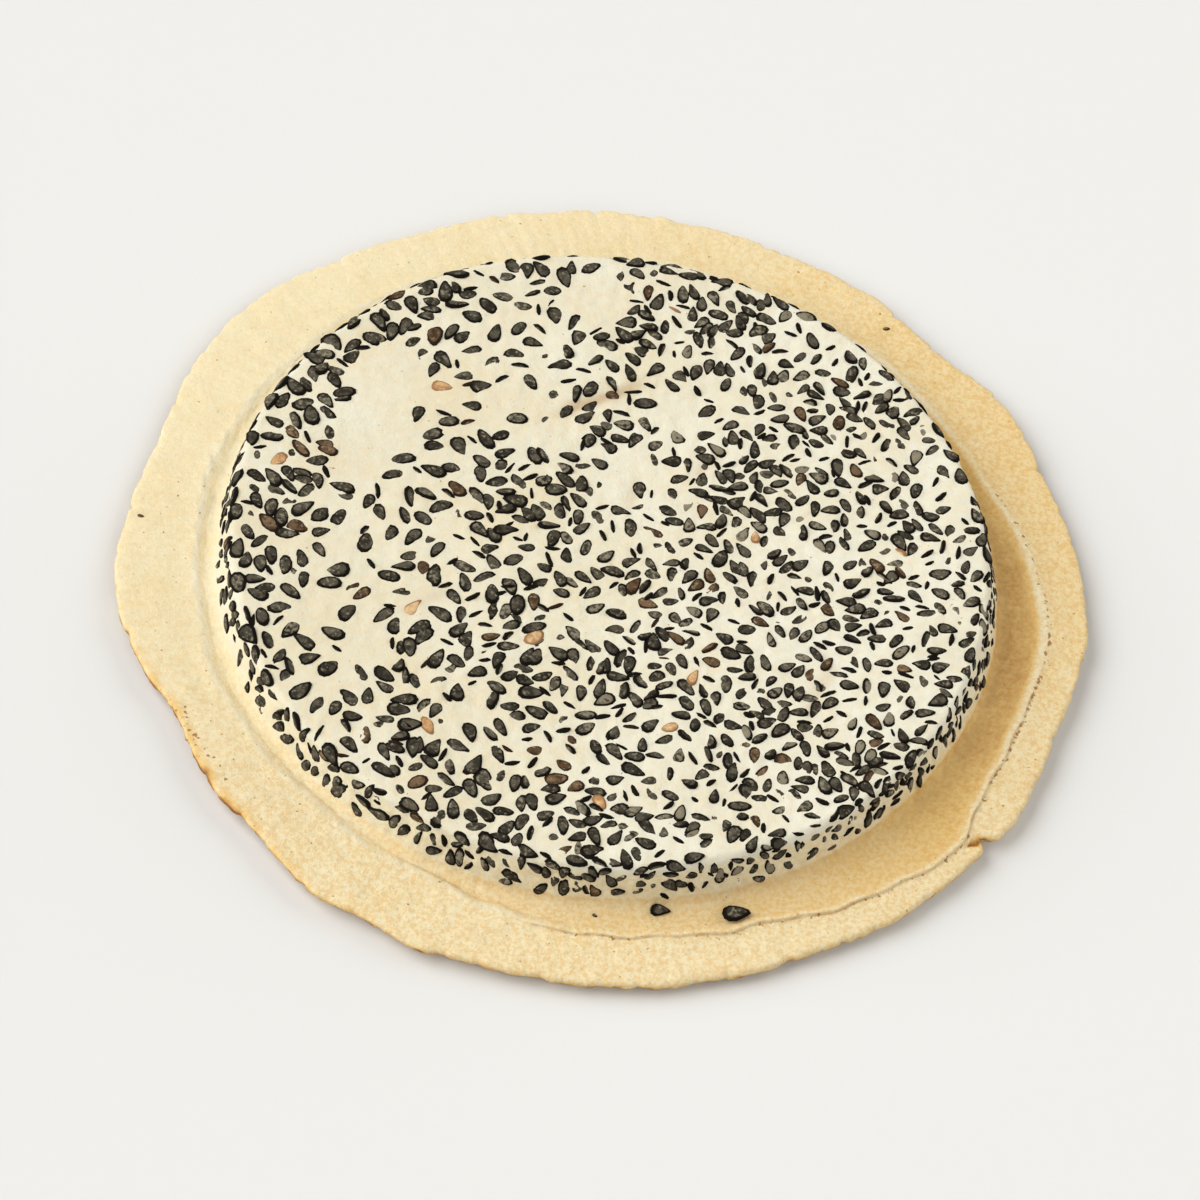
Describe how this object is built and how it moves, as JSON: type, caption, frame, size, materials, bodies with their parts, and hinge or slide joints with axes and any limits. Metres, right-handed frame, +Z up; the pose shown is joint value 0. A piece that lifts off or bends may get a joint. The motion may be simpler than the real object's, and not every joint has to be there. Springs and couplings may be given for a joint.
{
  "type": "sesame cracker",
  "caption": "Round baked wheat cracker: a thick disc set with black sesame seeds on top and wall, with a thin ragged flange round its foot.",
  "frame": {"origin": "centre of the flat underside, on the surface the cracker rests on", "axes": "+Z up, out of the seeded top; the lip torn on the flange runs round its -Y and +X sides"},
  "size_m": [0.1062, 0.1052, 0.0079],
  "materials": {
    "dough": "dry matte baked dough, pale ivory on the disc and honey-cream on the flange",
    "sesame": "matte charcoal sesame hull, a few brown or golden"
  },
  "bodies": {
    "root": {"cracker": "dough"}
  },
  "joints": []
}
